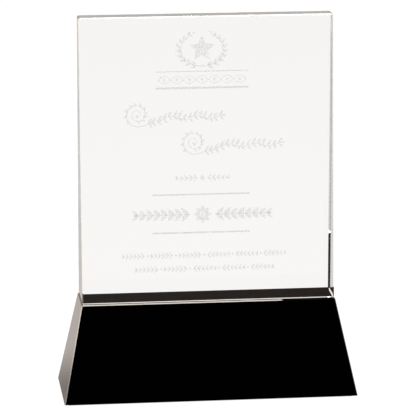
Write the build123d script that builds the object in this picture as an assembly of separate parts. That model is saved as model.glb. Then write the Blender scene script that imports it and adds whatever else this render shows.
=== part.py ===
from build123d import *
import os

# Crystal award: a clear tapered block bonded upright on a black crystal pedestal.
# Millimetres. +X is the viewer's right, the engraved front looks along -Y, +Z is up.
# The origin is the centre of the footprint, on the surface that the feet rest on.

# Clear crystal block: a wedge, thick at its foot and thin at its top, both faces leaning in alike.
CRYSTAL_WIDTH = 127.0
CRYSTAL_HEIGHT = 143.0
CRYSTAL_FOOT_THICKNESS = 27.0
CRYSTAL_TOP_THICKNESS = 10.0
CRYSTAL_CHAMFER = 0.6

# Black crystal base: a truncated pyramid whose top is a little larger than the clear block's foot.
BASE_HEIGHT = 48.0
BASE_TOP_MARGIN = 0.4
BASE_SIDE_RUN = 9.9
BASE_FACE_RUN = 12.4
BASE_TOP_CHAMFER = 0.6
BASE_CORNER_CHAMFER = 0.4

# Cured adhesive between the two blocks, as wide as the clear block's flat underside.
BOND_THICKNESS = 0.1

# Rubber feet: low discs stuck under the base's corners.
FOOT_DIAMETER = 10.0
FOOT_THICKNESS = 0.8
FOOT_EDGE_RADIUS = 0.25
FOOT_INSET = 9.0

# Sizes that follow from the ones above.
BASE_TOP_WIDTH = CRYSTAL_WIDTH + 2 * BASE_TOP_MARGIN
BASE_TOP_DEPTH = CRYSTAL_FOOT_THICKNESS + 2 * BASE_TOP_MARGIN
BASE_WIDTH = BASE_TOP_WIDTH + 2 * BASE_SIDE_RUN
BASE_DEPTH = BASE_TOP_DEPTH + 2 * BASE_FACE_RUN
BASE_BOTTOM_Z = FOOT_THICKNESS
BASE_TOP_Z = BASE_BOTTOM_Z + BASE_HEIGHT
CRYSTAL_BOTTOM_Z = BASE_TOP_Z + BOND_THICKNESS


def trapezoid(plane, bottom_size, top_size, bottom_z, height):
    """Upright symmetric trapezoid, centred on the Z axis, in a vertical plane."""
    corners = [
        (-bottom_size / 2, bottom_z),
        (bottom_size / 2, bottom_z),
        (top_size / 2, bottom_z + height),
        (-top_size / 2, bottom_z + height),
    ]
    return plane * make_face(Polyline(*corners, close=True))


def crystal_block():
    """Clear wedge with every edge ground to a small polished chamfer."""
    side_profile = trapezoid(
        Plane.YZ, CRYSTAL_FOOT_THICKNESS, CRYSTAL_TOP_THICKNESS, CRYSTAL_BOTTOM_Z, CRYSTAL_HEIGHT
    )
    wedge = extrude(side_profile, amount=CRYSTAL_WIDTH / 2, both=True)
    return chamfer(wedge.edges(), length=CRYSTAL_CHAMFER)


def base_block():
    """Four-sided pedestal: what its front outline and its side outline have in common.

    Its top edges are ground like the clear block's, its sloping corners a little less, and its bottom
    edges are left crisp.
    """
    front_profile = trapezoid(Plane.XZ, BASE_WIDTH, BASE_TOP_WIDTH, BASE_BOTTOM_Z, BASE_HEIGHT)
    side_profile = trapezoid(Plane.YZ, BASE_DEPTH, BASE_TOP_DEPTH, BASE_BOTTOM_Z, BASE_HEIGHT)
    across = extrude(side_profile, amount=BASE_WIDTH / 2, both=True)
    along = extrude(front_profile, amount=BASE_DEPTH / 2, both=True)
    pedestal = across & along
    corner_edges = pedestal.edges().group_by(Axis.Z)[1]
    pedestal = chamfer(corner_edges, length=BASE_CORNER_CHAMFER)
    top_edges = pedestal.edges().group_by(Axis.Z)[-1]
    return chamfer(top_edges, length=BASE_TOP_CHAMFER)


def bond_layer():
    """Thin sheet of adhesive that fills the joint under the clear block's flat underside."""
    width = CRYSTAL_WIDTH - 2 * CRYSTAL_CHAMFER
    depth = CRYSTAL_FOOT_THICKNESS - 2 * CRYSTAL_CHAMFER
    sheet = Pos(0, 0, BASE_TOP_Z) * Rectangle(width, depth)
    return extrude(sheet, amount=BOND_THICKNESS)


def foot(x, y):
    """Low rubber disc with a softened lower edge, stuck to the base's underside."""
    disc = Pos(x, y, 0) * extrude(Circle(FOOT_DIAMETER / 2), amount=FOOT_THICKNESS)
    lower_edge = disc.edges().sort_by(Axis.Z)[0]
    return fillet(lower_edge, radius=FOOT_EDGE_RADIUS)


def build_parts():
    """Every sub-part by its node name."""
    parts = {
        "crystal_block": crystal_block(),
        "base_block": base_block(),
        "bond_layer": bond_layer(),
    }
    foot_x = BASE_WIDTH / 2 - FOOT_INSET
    foot_y = BASE_DEPTH / 2 - FOOT_INSET
    for end, y in (("front", -foot_y), ("back", foot_y)):
        for side, x in (("left", -foot_x), ("right", foot_x)):
            parts[f"foot_{end}_{side}"] = foot(x, y)
    return parts


os.makedirs("parts", exist_ok=True)
for node, shape in build_parts().items():
    export_step(shape, f"parts/{node}.step")
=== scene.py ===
import math
import random

import bmesh
import bpy
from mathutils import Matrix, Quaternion, Vector


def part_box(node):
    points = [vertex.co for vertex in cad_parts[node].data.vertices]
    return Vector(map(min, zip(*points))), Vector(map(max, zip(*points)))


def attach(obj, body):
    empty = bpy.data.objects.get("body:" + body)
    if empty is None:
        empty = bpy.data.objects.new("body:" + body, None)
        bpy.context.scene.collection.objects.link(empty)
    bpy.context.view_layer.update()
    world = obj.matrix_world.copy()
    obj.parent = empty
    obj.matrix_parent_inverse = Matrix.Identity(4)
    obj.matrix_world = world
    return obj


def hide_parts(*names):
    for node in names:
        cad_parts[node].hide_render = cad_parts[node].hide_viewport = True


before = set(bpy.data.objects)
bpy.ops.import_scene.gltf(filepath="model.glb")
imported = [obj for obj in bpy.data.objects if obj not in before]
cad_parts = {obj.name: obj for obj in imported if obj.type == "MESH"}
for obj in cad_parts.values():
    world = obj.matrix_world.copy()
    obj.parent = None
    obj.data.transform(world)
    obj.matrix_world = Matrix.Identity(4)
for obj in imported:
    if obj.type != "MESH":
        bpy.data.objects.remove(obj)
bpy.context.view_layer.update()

MM = 0.001

# Camera: where it stands around its target, which is in the row frame.
CAMERA_TARGET = Vector((-0.41, -13.5, 96.63)) * MM
CAMERA_AZIMUTH = math.radians(-6.52)
CAMERA_ELEVATION = math.radians(12.15)
CAMERA_ROLL = math.radians(-0.11)
CAMERA_DISTANCE = 1437.9 * MM
CAMERA_LENS_MM = 250.0
CAMERA_SENSOR_MM = 36.0

# Studio tones, as scene-linear radiance.
FLOOR_GLOW = (1.01, 0.99, 0.975, 1)
FLOOR_ALBEDO = (0.05, 0.05, 0.05, 1)
WHITE_WALL = (1.05, 1.0, 0.96, 1)
DARK_ROOM = (0.0015, 0.0012, 0.001, 1)
FLOOR_HALF_SIZE = 6.0
LAMPS_AIM = (0, 0, 0.1)

CRYSTAL_IOR = 1.56
# Gloss tone of the base's rims, brighter than the sloping ends': painted light.
RIM_GLOSS = (0.062, 0.057, 0.053)

# How much of a face's normal lies along an axis, at least: when square to it, leaning a little, or chamfered.
SQUARE_ON = 0.99
LEANING = 0.95
CHAMFERED = 0.5

# Etched ornament: closed plates in layers, just clear of the back face and of each other, in millimetres.
LAYER_CLEARANCE = 0.02
LAYER_THICKNESS = 0.04


# ---------------------------------------------------------------- node helpers

def new_material(name):
    """A material with an empty node tree and its output node."""
    material = bpy.data.materials.new(name)
    material.use_nodes = True
    tree = material.node_tree
    tree.nodes.clear()
    output = tree.nodes.new("ShaderNodeOutputMaterial")
    return material, tree, output


def feed(tree, socket, value):
    """Give a socket a number, or link another node's output to it."""
    if isinstance(value, bpy.types.NodeSocket):
        tree.links.new(value, socket)
    else:
        socket.default_value = value


def principled(tree, **inputs):
    shader = tree.nodes.new("ShaderNodeBsdfPrincipled")
    for name, value in inputs.items():
        feed(tree, shader.inputs[name.replace("_", " ")], value)
    return shader


def diffuse(tree, colour):
    shader = tree.nodes.new("ShaderNodeBsdfDiffuse")
    feed(tree, shader.inputs["Color"], colour)
    return shader


def mix_shaders(tree, factor, first, second):
    """The first shader where factor is 0, the second where it is 1."""
    mix = tree.nodes.new("ShaderNodeMixShader")
    feed(tree, mix.inputs["Fac"], factor)
    tree.links.new(first.outputs[0], mix.inputs[1])
    tree.links.new(second.outputs[0], mix.inputs[2])
    return mix


def surface(tree, output, shader):
    tree.links.new(shader.outputs[0], output.inputs["Surface"])


def coordinates(tree, kind):
    """The X, Y and Z outputs of one kind of texture coordinates."""
    coords = tree.nodes.new("ShaderNodeTexCoord")
    split = tree.nodes.new("ShaderNodeSeparateXYZ")
    tree.links.new(coords.outputs[kind], split.inputs[0])
    return split.outputs


def arithmetic(tree, operation, *values, clamp=False):
    """A Math node's result, from numbers or other nodes' outputs."""
    node = tree.nodes.new("ShaderNodeMath")
    node.operation = operation
    node.use_clamp = clamp
    for socket, value in zip(node.inputs, values):
        feed(tree, socket, value)
    return node.outputs["Value"]


def object_noise(tree, scale, detail=3.0, stretch=(1, 1, 1)):
    """Noise fixed to the object, its scale in features per metre before stretching."""
    coords = tree.nodes.new("ShaderNodeTexCoord")
    mapping = tree.nodes.new("ShaderNodeMapping")
    mapping.inputs["Scale"].default_value = stretch
    tree.links.new(coords.outputs["Object"], mapping.inputs["Vector"])
    noise = tree.nodes.new("ShaderNodeTexNoise")
    noise.inputs["Scale"].default_value = scale
    noise.inputs["Detail"].default_value = detail
    tree.links.new(mapping.outputs["Vector"], noise.inputs["Vector"])
    return noise.outputs["Fac"]


def remap(tree, value, low, high, to_low, to_high):
    """Value's range from low to high, stretched straight to the range from to_low to to_high."""
    node = tree.nodes.new("ShaderNodeMapRange")
    for name, number in (("From Min", low), ("From Max", high), ("To Min", to_low), ("To Max", to_high)):
        node.inputs[name].default_value = number
    tree.links.new(value, node.inputs["Value"])
    return node.outputs["Result"]


def smooth(tree, value, low, high):
    """An S-curve from 0 at low to 1 at high."""
    node = tree.nodes.new("ShaderNodeMapRange")
    node.interpolation_type = "SMOOTHSTEP"
    node.inputs["From Min"].default_value = low
    node.inputs["From Max"].default_value = high
    tree.links.new(value, node.inputs["Value"])
    return node.outputs["Result"]


def two_tone(tree, value, low, high, dark, light):
    """The dark tone up to low, the light one from high on, and a blend between."""
    node = tree.nodes.new("ShaderNodeValToRGB")
    stops = ((low, dark), (high, light))
    for element, (position, tone) in zip(node.color_ramp.elements, stops):
        element.position = position
        element.color = (*tone, 1)
    tree.links.new(value, node.inputs["Fac"])
    return node.outputs["Color"]


def bump(tree, height, strength, distance):
    node = tree.nodes.new("ShaderNodeBump")
    node.inputs["Strength"].default_value = strength
    node.inputs["Distance"].default_value = distance
    tree.links.new(height, node.inputs["Height"])
    return node.outputs["Normal"]


# ---------------------------------------------------------------- materials

def clear_crystal():
    """Water-clear optical crystal with the faint waviness that polishing leaves."""
    material, tree, output = new_material("clear_crystal")
    glass = principled(
        tree,
        Base_Color=(0.872, 0.876, 0.880, 1),
        Roughness=0.0,
        IOR=CRYSTAL_IOR,
        Transmission_Weight=1.0,
        Specular_Tint=(0.36, 0.30, 0.26, 1),
        Normal=bump(tree, object_noise(tree, 45.0, 2.0), strength=0.04, distance=0.4 * MM),
    )
    surface(tree, output, glass)
    return material


def ground_edge(name, least_haze_and_shade, most_haze_and_shade):
    """The same crystal where it was sawn and ground, under a brownish-grey diffuse layer: a trace of real
    haze, and on the sawn ends also painted shade.
    """
    material, tree, output = new_material(name)
    glass = principled(
        tree,
        Base_Color=(0.97, 0.935, 0.90, 1),
        Roughness=0.03,
        IOR=CRYSTAL_IOR,
        Transmission_Weight=1.0,
    )
    grain = object_noise(tree, 900.0, 4.0, (1, 1, 0.12))
    # Diffuse haze layer; where it is heavy, as on the sawn ends, it is painted shade.
    haze_and_shade = diffuse(tree, two_tone(tree, grain, 0.35, 0.65, (0.11, 0.082, 0.062), (0.19, 0.15, 0.12)))
    amount = remap(tree, object_noise(tree, 160.0), 0.3, 0.7, least_haze_and_shade, most_haze_and_shade)
    surface(tree, output, mix_shaders(tree, amount, glass, haze_and_shade))
    return material


def bonded_joint():
    """Black crystal seen through the adhesive that wets it, with faint flow streaks."""
    material, tree, output = new_material("bonded_joint")
    streaks = object_noise(tree, 60.0, 4.0, (0.5, 6.0, 1))
    tone = two_tone(tree, streaks, 0.38, 0.72, (0.0045, 0.0035, 0.003), (0.011, 0.0085, 0.007))
    surface(tree, output, diffuse(tree, tone))
    return material


def black_crystal():
    """Opaque black crystal, glossy, with polishing waviness and a little dust that dulls it in places."""
    material, tree, output = new_material("black_crystal")
    dust = object_noise(tree, 2600.0, 2.0)
    shader = principled(
        tree,
        IOR=1.52,
        Base_Color=two_tone(tree, dust, 0.70, 0.80, (0.0003, 0.0003, 0.0003), (0.002, 0.0018, 0.0016)),
        Roughness=remap(tree, object_noise(tree, 70.0, 5.0), 0.45, 0.75, 0.012, 0.05),
        Normal=bump(tree, object_noise(tree, 38.0, 2.0), strength=0.05, distance=0.4 * MM),
    )
    surface(tree, output, shader)
    return material


def bloom_and_shade_crystal(name, gloss_tone, gloss_shaded_past=None):
    """Black crystal's warm gloss under a thin brownish bloom, with painted shade that thickens the layer
    towards the bottom edge, most in front.

    Past the X given as the last argument, in metres, gloss and bloom die out within a short fade: painted
    shade over the highlight.
    """
    fade = 1.5 * MM
    front_skew = 0.29
    painted_shade_top, painted_shade_bottom = 27 * MM, 2 * MM
    painted_shade_growth = 0.44
    material, tree, output = new_material(name)
    gloss = principled(
        tree,
        Base_Color=(*gloss_tone, 1),
        Metallic=1.0,
        Roughness=0.03,
        Specular_Tint=(0.90, 0.82, 0.76, 1),
    )
    grain = object_noise(tree, 1400.0, 3.0)
    bloom_and_shade = diffuse(tree, two_tone(tree, grain, 0.35, 0.7, (0.020, 0.014, 0.010), (0.036, 0.027, 0.021)))
    place = coordinates(tree, "Object")
    skewed_height = arithmetic(tree, "MULTIPLY_ADD", place["Y"], front_skew, place["Z"])
    # Painted shade: the brown layer grows towards the bottom edge and towards the front.
    depth = smooth(tree, skewed_height, painted_shade_top, painted_shade_bottom)
    patches = remap(tree, object_noise(tree, 120.0), 0.3, 0.7, 0.21, 0.25)
    amount = arithmetic(tree, "MULTIPLY_ADD", depth, painted_shade_growth, patches)
    # Painted shade: past the given X the gloss highlight and the bloom fade out.
    if gloss_shaded_past is not None:
        kept = smooth(tree, place["X"], gloss_shaded_past + fade, gloss_shaded_past)
        feed(tree, gloss.inputs["Base Color"], two_tone(tree, kept, 0.0, 1.0, (0, 0, 0), gloss_tone))
        amount = arithmetic(tree, "MULTIPLY", amount, kept)
    surface(tree, output, mix_shaders(tree, amount, gloss, bloom_and_shade))
    return material


def foot_rubber():
    """Matt moulded rubber with a fine grain and grey dust in it."""
    material, tree, output = new_material("foot_rubber")
    grain = object_noise(tree, 2400.0, 3.0)
    shader = principled(
        tree,
        Roughness=0.72,
        IOR=1.5,
        Base_Color=two_tone(tree, grain, 0.4, 0.75, (0.012, 0.012, 0.012), (0.035, 0.034, 0.033)),
        Normal=bump(tree, grain, strength=0.35, distance=0.15 * MM),
    )
    surface(tree, output, shader)
    return material


def cured_adhesive():
    """Clear cured adhesive, faintly amber, with fine ripples on its free edge."""
    material, tree, output = new_material("cured_adhesive")
    tint = object_noise(tree, 220.0)
    shader = principled(
        tree,
        IOR=1.48,
        Transmission_Weight=0.9,
        Base_Color=two_tone(tree, tint, 0.35, 0.7, (0.86, 0.82, 0.76), (0.95, 0.93, 0.89)),
        Roughness=remap(tree, tint, 0.3, 0.7, 0.08, 0.22),
        Normal=bump(tree, object_noise(tree, 1500.0), strength=0.3, distance=0.1 * MM),
    )
    surface(tree, output, shader)
    return material


def etched_frost(name, grain, least_cover, most_cover):
    """White frosted etching: a random stipple of pits, grain of them to a metre, with clear glass between.

    Light leaves a plate through clear skin, so each plate frosts it once.
    """
    material, tree, output = new_material(name)
    mottling = object_noise(tree, 2600.0, 2.0)
    tone = two_tone(tree, mottling, 0.38, 0.62, (0.76, 0.765, 0.77), (0.90, 0.905, 0.91))
    back = tree.nodes.new("ShaderNodeBsdfTranslucent")
    feed(tree, back.inputs["Color"], tone)
    reflected_share = 0.22
    frost = mix_shaders(tree, reflected_share, back, diffuse(tree, tone))
    stipple = remap(tree, object_noise(tree, grain, 2.0), 0.42, 0.60, most_cover, least_cover)
    skin = tree.nodes.new("ShaderNodeNewGeometry")
    cover = arithmetic(tree, "SUBTRACT", stipple, skin.outputs["Backfacing"], clamp=True)
    clear = tree.nodes.new("ShaderNodeBsdfTransparent")
    surface(tree, output, mix_shaders(tree, cover, clear, frost))
    return material


# ---------------------------------------------------------------- CAD nodes

def dress(node, *materials):
    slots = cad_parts[node].data.materials
    slots.clear()
    for material in materials:
        slots.append(material)


def dress_crystal():
    """Clear faces and top, sawn ends and top rims, ground chamfers, and the bonded underside.

    The chamfer behind the underside is full of adhesive, so it looks bonded too.
    """
    clear, sawn, ground, bonded = range(4)
    dress(
        "crystal_block",
        clear_crystal(),
        # Painted shade: the sawn ends' heavy haze darkens them to a warm grey, over a trace of real haze.
        ground_edge("sawn_end", least_haze_and_shade=0.30, most_haze_and_shade=0.35),
        ground_edge("ground_chamfer", least_haze_and_shade=0.03, most_haze_and_shade=0.10),
        bonded_joint(),
    )
    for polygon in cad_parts["crystal_block"].data.polygons:
        normal = polygon.normal
        if normal.z < -SQUARE_ON or (normal.z < -CHAMFERED and normal.y > CHAMFERED):
            polygon.material_index = bonded
        elif abs(normal.y) > LEANING or normal.z > SQUARE_ON:
            polygon.material_index = clear
        elif abs(normal.x) > LEANING or normal.z > CHAMFERED:
            polygon.material_index = sawn
        else:
            polygon.material_index = ground


def dress_base():
    """Clean gloss on the front, back, top and bottom; on the sloping ends and the chamfers a thin bloom with
    painted shade towards the bottom, under gloss tones set face by face.
    """
    clean, end, rim, corner, front_rim = range(5)
    dress(
        "base_block",
        black_crystal(),
        # Ends, rims and corners are lit and shaded copies of one black crystal, with gloss tones brighter on
        # rims and corners than on the ends, and the front rim's gloss fading out past its right end: painted
        # light and shade.
        bloom_and_shade_crystal("black_crystal_side", (0.045, 0.041, 0.038)),
        bloom_and_shade_crystal("black_crystal_rim", RIM_GLOSS),
        bloom_and_shade_crystal("black_crystal_corner", (0.092, 0.084, 0.077)),
        bloom_and_shade_crystal("black_crystal_front_rim", RIM_GLOSS, gloss_shaded_past=36 * MM),
    )
    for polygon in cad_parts["base_block"].data.polygons:
        normal = polygon.normal
        if abs(normal.x) > LEANING:
            polygon.material_index = end
        elif abs(normal.y) > LEANING or abs(normal.z) > SQUARE_ON:
            polygon.material_index = clean
        elif normal.z > CHAMFERED:
            polygon.material_index = front_rim if normal.y < -CHAMFERED else rim
        else:
            polygon.material_index = corner


def dress_feet():
    rubber = foot_rubber()
    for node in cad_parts:
        if node.startswith("foot"):
            dress(node, rubber)


# ---------------------------------------------------------------- new pieces

def finish_piece(name, bm, material):
    bmesh.ops.recalc_face_normals(bm, faces=bm.faces)
    mesh = bpy.data.meshes.new(name)
    bm.to_mesh(mesh)
    bm.free()
    mesh.materials.append(material)
    piece = bpy.data.objects.new(name, mesh)
    bpy.context.collection.objects.link(piece)
    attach(piece, "root")
    return piece


def rounded_outline(half_width, half_depth, radius, spacing):
    """Points round a rectangle with rounded corners, anticlockwise, each with its outward direction."""
    corner_steps = 6
    pivots = [
        Vector((side * (half_width - radius), end * (half_depth - radius)))
        for side, end in ((1, 1), (-1, 1), (-1, -1), (1, -1))
    ]
    outline = []
    for index, pivot in enumerate(pivots):
        for step in range(corner_steps + 1):
            turn = math.radians(90.0 * index + 90.0 * step / corner_steps)
            way = Vector((math.cos(turn), math.sin(turn)))
            outline.append((pivot + way * radius, way))
        departure = outline[-1][0]
        arrival = pivots[(index + 1) % len(pivots)] + way * radius
        count = max(2, round((arrival - departure).length / spacing))
        for step in range(1, count):
            outline.append((departure.lerp(arrival, step / count), way))
    return outline


def adhesive_film():
    """The cured film in the joint: a closed sheet whose free edge bulges and wanders a little."""
    gap = 0.02 * MM
    shoulder = gap * 1.6
    bulge = 0.12 * MM
    low, high = (Vector(corner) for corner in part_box("bond_layer"))
    centre = (low + high) / 2
    half = (high - low) / 2
    outline = rounded_outline(half.x, half.y, radius=1.2 * MM, spacing=2.5 * MM)
    rng = random.Random(5)
    wander = [rng.uniform(0.2, 1.0) for _ in outline]
    # The share of the bulge that the edge stands out by, at each height.
    profile = (
        (-0.25, low.z + gap),
        (0.6, low.z + shoulder),
        (1.0, centre.z),
        (0.6, high.z - shoulder),
        (-0.25, high.z - gap),
    )
    bm = bmesh.new()
    rings = []
    for share, z in profile:
        ring = []
        for (point, way), k in zip(outline, wander):
            x = centre.x + point.x + way.x * bulge * share * k
            y = centre.y + point.y + way.y * bulge * share * k
            ring.append(bm.verts.new((x, y, z)))
        rings.append(ring)
    count = len(outline)
    for lower, upper in zip(rings, rings[1:]):
        for i in range(count):
            j = (i + 1) % count
            bm.faces.new((lower[i], lower[j], upper[j], upper[i]))
    bm.faces.new(rings[0][::-1])
    bm.faces.new(rings[-1])
    piece = finish_piece("adhesive_film", bm, cured_adhesive())
    for polygon in piece.data.polygons:
        polygon.use_smooth = abs(polygon.normal.z) < SQUARE_ON
    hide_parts("bond_layer")


# ---------------------------------------------------------------- etched ornament

def back_face():
    """The bottom middle of the clear block's back face, and its across, up and outward directions."""
    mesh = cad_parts["crystal_block"].data
    rear = max((p for p in mesh.polygons if p.normal.y > 0.9), key=lambda p: p.area)
    outward = rear.normal.copy()
    across = Vector((1, 0, 0))
    up = outward.cross(across).normalized()
    if up.z < 0:
        up.negate()
    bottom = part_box("crystal_block")[0][2]
    origin = rear.center + up * ((bottom - rear.center.z) / up.z)
    origin.x = 0.0
    return origin, across, up, outward


ORIGIN, ACROSS, UP, OUTWARD = back_face()


def on_back(u, v, w):
    """A point u across, v up and w out from the back face, in millimetres."""
    return ORIGIN + (ACROSS * u + UP * v + OUTWARD * w) * MM


def depths(layer):
    inner = LAYER_CLEARANCE + layer * (LAYER_THICKNESS + LAYER_CLEARANCE)
    return inner, inner + LAYER_THICKNESS


def plate(bm, outline, layer):
    """A closed thin plate on the back face, from an outline that its centre can see all of."""
    cu = sum(u for u, v in outline) / len(outline)
    cv = sum(v for u, v in outline) / len(outline)
    sides = []
    for w in depths(layer):
        hub = bm.verts.new(on_back(cu, cv, w))
        sides.append((hub, [bm.verts.new(on_back(u, v, w)) for u, v in outline]))
    (near_hub, near), (far_hub, far) = sides
    for i in range(len(outline)):
        j = (i + 1) % len(outline)
        bm.faces.new((near_hub, near[i], near[j]))
        bm.faces.new((far_hub, far[j], far[i]))
        bm.faces.new((near[i], far[i], far[j], near[j]))


def ribbon(bm, points, widths, layer=0):
    """A closed thin stroke along points, with a width at each."""
    rows = []
    for i, (u, v) in enumerate(points):
        before, after = points[max(i - 1, 0)], points[min(i + 1, len(points) - 1)]
        du, dv = after[0] - before[0], after[1] - before[1]
        length = math.hypot(du, dv)
        nu, nv = -dv / length * widths[i] / 2, du / length * widths[i] / 2
        row = []
        for w in depths(layer):
            for side in (-1, 1):
                row.append(bm.verts.new(on_back(u + side * nu, v + side * nv, w)))
        rows.append(row)
    for (a, b, c, d), (e, f, g, h) in zip(rows, rows[1:]):
        bm.faces.new((a, b, f, e))
        bm.faces.new((c, g, h, d))
        bm.faces.new((a, e, g, c))
        bm.faces.new((b, d, h, f))
    a, b, c, d = rows[0]
    bm.faces.new((a, c, d, b))
    a, b, c, d = rows[-1]
    bm.faces.new((a, b, d, c))


def leaf(bm, u, v, angle, length, width, layer=1):
    """A pointed leaf that grows from (u, v) in the direction of angle, in degrees."""
    ca, sa = math.cos(math.radians(angle)), math.sin(math.radians(angle))
    steps = 5
    edge = []
    for k in range(steps + 1):
        t = k / steps
        edge.append((t * length, width / 2 * math.sin(math.pi * t ** 0.8)))
    outline = edge + [(x, -y) for x, y in reversed(edge[1:-1])]
    plate(bm, [(u + x * ca - y * sa, v + x * sa + y * ca) for x, y in outline], layer)


def disc(bm, u, v, radius, layer, sides=14):
    turns = [2 * math.pi * k / sides for k in range(sides)]
    plate(bm, [(u + radius * math.cos(a), v + radius * math.sin(a)) for a in turns], layer)


def lozenge(bm, u, v, half_width, half_height, layer):
    outline = [(u + half_width, v), (u, v + half_height), (u - half_width, v), (u, v - half_height)]
    plate(bm, outline, layer)


def bar(bm, start, end, v, thickness):
    """A rule with square ends, in short lengths so that it stays a regular strip."""
    count = 24
    points = [(start + (end - start) * k / count, v) for k in range(count + 1)]
    ribbon(bm, points, [thickness] * (count + 1))


def star(bm, u, v, outer, inner):
    outline = []
    for k in range(10):
        radius = outer if k % 2 == 0 else inner
        angle = math.pi / 2 + math.pi * k / 5
        outline.append((u + radius * math.cos(angle), v + radius * math.sin(angle)))
    plate(bm, outline, layer=0)


def emblem(bm):
    """A star inside a laurel wreath that is open at its top."""
    u, v = -1.55, 125.3
    across, up = 11.4, 8.6
    spread = 34
    stem_steps = 24

    def on_wreath(turn):
        return u + across * math.cos(turn), v + up * math.sin(turn)

    star(bm, u, v + 0.2, outer=6.9, inner=3.2)
    for side in (-1, 1):
        turns = [math.radians(-90 + side * (4 + 150 * k / stem_steps)) for k in range(stem_steps + 1)]
        widths = [0.5 - 0.3 * k / stem_steps for k in range(stem_steps + 1)]
        ribbon(bm, [on_wreath(turn) for turn in turns], widths)
        for k in range(9):
            turn = math.radians(-90 + side * (14 + 16.0 * k))
            along = math.degrees(math.atan2(side * up * math.cos(turn), -side * across * math.sin(turn)))
            size = 1.0 - 0.035 * k
            for tilt in (spread, -spread):
                leaf(bm, *on_wreath(turn), along + tilt, length=3.5 * size, width=1.35 * size)
        tip = on_wreath(math.radians(-90 + side * 154))
        leaf(bm, *tip, 90 + side * 52, length=2.4, width=1.0)
    disc(bm, u, v - up, radius=0.8, layer=2)


def rules(bm):
    """Two rules under the emblem, one above the garland and one below it."""
    bar(bm, -24.8, 21.8, v=114.1, thickness=0.5)
    bar(bm, -24.8, 21.8, v=105.7, thickness=0.95)
    bar(bm, -26.7, 22.5, v=51.0, thickness=0.75)
    bar(bm, -26.7, 22.6, v=31.2, thickness=0.75)


def interlace(bm):
    """Two thin waves that cross, with a bead in every eye, between the upper rules."""
    left, right, v = -23.6, 20.6, 109.9
    waves = 7
    height = 1.95
    line_width = 0.42
    bead = 0.95
    count = 140
    for layer, sign in ((0, 1), (1, -1)):
        points = []
        for k in range(count + 1):
            t = k / count
            points.append((left + (right - left) * t, v + sign * height * math.sin(waves * math.pi * t)))
        ribbon(bm, points, [line_width] * (count + 1), layer)
    for k in range(waves):
        lozenge(bm, left + (right - left) * (k + 0.5) / waves, v, bead, bead, layer=0)


def scroll(bm, cu, cv, radius):
    """A coil of two turns that opens from a disc at its centre to its lowest point, with leaves outside."""
    turns = 2.0
    count = 90
    coil = []
    widths = []
    for k in range(count + 1):
        t = k / count
        angle = math.radians(-90) - 2 * math.pi * turns * (1 - t)
        reach = radius * (1 - 0.84 * (1 - t) ** 0.85)
        coil.append((cu + reach * math.cos(angle), cv + reach * math.sin(angle), angle))
        widths.append(0.34 + 0.62 * t * abs(math.cos(angle)))
    ribbon(bm, [(u, v) for u, v, _ in coil], widths)
    disc(bm, coil[0][0], coil[0][1], radius=0.8, layer=1)
    leaves = 11
    tilt = 42
    for k in range(leaves):
        u, v, angle = coil[round(count * (0.50 + 0.42 * k / (leaves - 1)))]
        leaf(bm, u, v, math.degrees(angle) + 90 - tilt, length=2.3, width=0.95)


def vine(bm, start, end, first, base):
    """A leafy stem that starts at the height first and settles into a slow wave about the height base."""
    count = 80
    waves = 3.2
    stem = []
    for k in range(count + 1):
        t = k / count
        ease = min(1.0, t * 2.6)
        ease = ease * ease * (3 - 2 * ease)
        wave = 0.75 * ease * math.sin(2 * math.pi * waves * t)
        stem.append((start + (end - start) * t, first + (base - first) * ease + wave))
    ribbon(bm, stem, [0.6 - 0.28 * k / count for k in range(count + 1)])
    leaves = 15
    for k in range(leaves):
        u, v = stem[round(count * (0.12 + 0.84 * k / (leaves - 1)))]
        size = (1.0, 0.82, 0.92)[k % 3]
        leaf(bm, u, v, angle=58, length=4.3 * size, width=1.45)
        leaf(bm, u + 0.6, v, angle=-48, length=2.7 * size, width=1.15)
    leaf(bm, stem[-1][0] - 0.4, stem[-1][1], angle=18, length=2.6, width=1.1)


def flourish(bm, left, right, low, high):
    """A vine that uncoils from a large leafy scroll at its left and runs to the right in a slow wave."""
    margin = 1.1
    radius = (high - low) / 2 - margin
    cu, cv = left + margin + radius, (low + high) / 2
    scroll(bm, cu, cv, radius)
    vine(bm, cu, right - 1.6, cv - radius, low + 0.36 * (high - low))


def title_scrolls(bm):
    flourish(bm, left=-41.4, right=10.3, low=85.3, high=99.9)
    flourish(bm, left=-12.9, right=40.2, low=70.6, high=85.1)


def branch(bm, start, end, v, pairs, length, width, spread, stem_width):
    """A straight laurel branch from start to end, with leaf pairs that point to its tip."""
    way = 0 if end > start else 180
    bar(bm, start, end - (end - start) * 0.03, v, stem_width)
    for k in range(pairs):
        u = start + (end - start) * (k + 0.15) / pairs
        size = 1.0 - 0.22 * k / max(pairs - 1, 1)
        for tilt in (spread, -spread):
            leaf(bm, u, v, way + tilt, length * size, width * size)
    tip = end - math.copysign(length * 0.5, end - start)
    leaf(bm, tip, v, way, length * 0.5, width * 0.7, layer=2)


def rosette(bm, u, v, petals, reach, width):
    hub = reach * 0.22
    for k in range(petals):
        turn = math.radians(90 + 360 * k / petals)
        start = (u + hub * math.cos(turn), v + hub * math.sin(turn))
        leaf(bm, *start, math.degrees(turn), reach - hub, width)
    disc(bm, u, v, radius=hub * 0.85, layer=1)


def small_sprig(bm):
    """Two small branches that point away from a lozenge."""
    u, v = -1.3, 59.5
    lozenge(bm, u, v, half_width=1.3, half_height=1.9, layer=2)
    for start, end in ((u + 2.4, 12.9), (u - 2.4, -15.5)):
        branch(bm, start, end, v, pairs=5, length=2.7, width=0.95, spread=42, stem_width=0.3)


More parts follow.
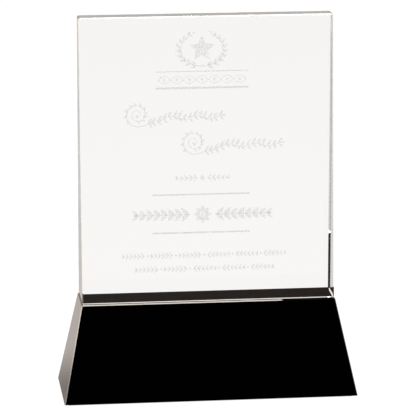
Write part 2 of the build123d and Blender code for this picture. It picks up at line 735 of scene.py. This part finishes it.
def garland(bm):
    """Two laurel branches that point away from a rosette, with berries between their leaves."""
    u, v = -1.2, 40.6
    pairs = 8
    rosette(bm, u, v, petals=8, reach=4.7, width=2.2)
    for end in (34.3, -36.7):
        start = u + math.copysign(6.4, end)
        branch(bm, start, end, v, pairs, length=5.4, width=2.0, spread=40, stem_width=0.75)
        for k in range(pairs - 1):
            berry = start + (end - start) * (k + 0.92) / pairs
            for rise in (-1.15, 1.15):
                disc(bm, berry, v + rise, radius=0.42, layer=3, sides=10)


def sprig_rows(bm):
    """Two rows of small sprigs between beads, all pointing away from the middle."""
    stem_end, tip_end = 1.5, 0.9
    for left, right, v, groups in ((-43.4, 42.6, 19.5, 6), (-36.9, 36.5, 12.4, 5)):
        pitch = (right - left) / groups
        middle = (left + right) / 2
        for k in range(groups):
            begin = left + pitch * k
            if begin + pitch / 2 < middle:
                start, end = begin + pitch - stem_end, begin + tip_end
            else:
                start, end = begin + stem_end, begin + pitch - tip_end
            branch(bm, start, end, v, pairs=6, length=2.6, width=0.85, spread=44, stem_width=0.26)
            if k:
                lozenge(bm, begin, v, half_width=0.6, half_height=0.9, layer=2)


def etch_all():
    """Every etched piece, from the top of the block to its foot."""
    stippled = etched_frost("etched_frost_stippled", grain=1700.0, least_cover=0.12, most_cover=0.95)
    solid = etched_frost("etched_frost_solid", grain=2800.0, least_cover=0.80, most_cover=0.95)
    fine = etched_frost("etched_frost_fine", grain=2800.0, least_cover=0.50, most_cover=0.62)
    for name, draw, frost in (
        ("etched_emblem", emblem, stippled),
        ("etched_rules", rules, solid),
        ("etched_interlace", interlace, fine),
        ("etched_title_scrolls", title_scrolls, fine),
        ("etched_small_sprig", small_sprig, fine),
        ("etched_garland", garland, fine),
        ("etched_sprig_rows", sprig_rows, fine),
    ):
        bm = bmesh.new()
        draw(bm)
        finish_piece(name, bm, frost)


# ---------------------------------------------------------------- camera, world, floor and lights

def camera():
    data = bpy.data.cameras.new("camera")
    data.lens = CAMERA_LENS_MM
    data.sensor_width = CAMERA_SENSOR_MM
    holder = bpy.data.objects.new("camera", data)
    bpy.context.collection.objects.link(holder)
    back = Vector((
        math.sin(CAMERA_AZIMUTH) * math.cos(CAMERA_ELEVATION),
        -math.cos(CAMERA_AZIMUTH) * math.cos(CAMERA_ELEVATION),
        math.sin(CAMERA_ELEVATION),
    ))
    holder.location = CAMERA_TARGET + back * CAMERA_DISTANCE
    level = (-back).to_track_quat("-Z", "Y")
    holder.rotation_euler = (level @ Quaternion((0, 0, 1), CAMERA_ROLL)).to_euler()
    data.clip_start = 0.01
    data.clip_end = 50
    bpy.context.scene.camera = holder


def studio():
    """White surroundings behind, below and low all round, and a dark room in front above that."""
    scene = bpy.context.scene
    scene.view_settings.view_transform = "Standard"
    world = bpy.data.worlds.new("studio")
    scene.world = world
    world.use_nodes = True
    tree = world.node_tree
    tree.nodes.clear()
    output = tree.nodes.new("ShaderNodeOutputWorld")
    background = tree.nodes.new("ShaderNodeBackground")
    tree.links.new(background.outputs[0], output.inputs[0])
    direction = coordinates(tree, "Generated")
    behind = smooth(tree, direction["Y"], -0.35, 0.25)
    low = smooth(tree, direction["Z"], 0.13, 0.02)
    mix = tree.nodes.new("ShaderNodeMix")
    mix.data_type = "RGBA"
    mix.inputs["A"].default_value = DARK_ROOM
    mix.inputs["B"].default_value = WHITE_WALL
    tree.links.new(arithmetic(tree, "MAXIMUM", behind, low), mix.inputs["Factor"])
    tree.links.new(mix.outputs["Result"], background.inputs["Color"])


def contact_shade(tree):
    """The floor's glow: dark under the base, and full from just inside the base's outline outwards."""
    dark_edge, full_edge = -2.8 * MM, -2.0 * MM
    least_glow = 0.03
    low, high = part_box("base_block")
    place = coordinates(tree, "Object")
    gaps = []
    for axis, half in (("X", (high[0] - low[0]) / 2), ("Y", (high[1] - low[1]) / 2)):
        gaps.append(arithmetic(tree, "SUBTRACT", arithmetic(tree, "ABSOLUTE", place[axis]), half))
    outside = arithmetic(tree, "MAXIMUM", *gaps)
    return remap(tree, smooth(tree, outside, dark_edge, full_edge), 0.0, 1.0, least_glow, 1.0)


def floor():
    mesh = bpy.data.meshes.new("floor")
    corners = [(x * FLOOR_HALF_SIZE, y * FLOOR_HALF_SIZE, 0) for x, y in ((-1, -1), (1, -1), (1, 1), (-1, 1))]
    mesh.from_pydata(corners, [], [(0, 1, 2, 3)])
    plane = bpy.data.objects.new("floor", mesh)
    bpy.context.collection.objects.link(plane)
    material, tree, output = new_material("floor")
    glow = tree.nodes.new("ShaderNodeEmission")
    feed(tree, glow.inputs["Color"], FLOOR_GLOW)
    feed(tree, glow.inputs["Strength"], contact_shade(tree))
    add = tree.nodes.new("ShaderNodeAddShader")
    tree.links.new(glow.outputs[0], add.inputs[0])
    tree.links.new(diffuse(tree, FLOOR_ALBEDO).outputs[0], add.inputs[1])
    surface(tree, output, add)
    mesh.materials.append(material)


def softbox(name, place, size, radiance):
    """A rectangular area light aimed at the award, as bright as radiance over its whole face."""
    lamp = bpy.data.lights.new(name, "AREA")
    lamp.shape = "RECTANGLE"
    lamp.size, lamp.size_y = size
    lamp.energy = radiance * math.pi * size[0] * size[1]
    holder = bpy.data.objects.new(name, lamp)
    bpy.context.collection.objects.link(holder)
    holder.location = place
    holder.rotation_euler = (Vector(LAMPS_AIM) - Vector(place)).to_track_quat("-Z", "Y").to_euler()


def light_paths():
    """Enough bounces for light to cross the clear block and its etched back."""
    cycles = bpy.context.scene.cycles
    cycles.max_bounces = 28
    cycles.glossy_bounces = 16
    cycles.transmission_bounces = 24
    cycles.transparent_max_bounces = 24


dress_crystal()
dress_base()
dress_feet()
adhesive_film()
etch_all()
camera()
studio()
floor()
softbox("overhead", place=(0.10, 0.0, 1.1), size=(0.5, 0.4), radiance=15.0)
softbox("left_side", place=(-1.1, -0.15, 0.3), size=(0.4, 0.4), radiance=9.0)
light_paths()
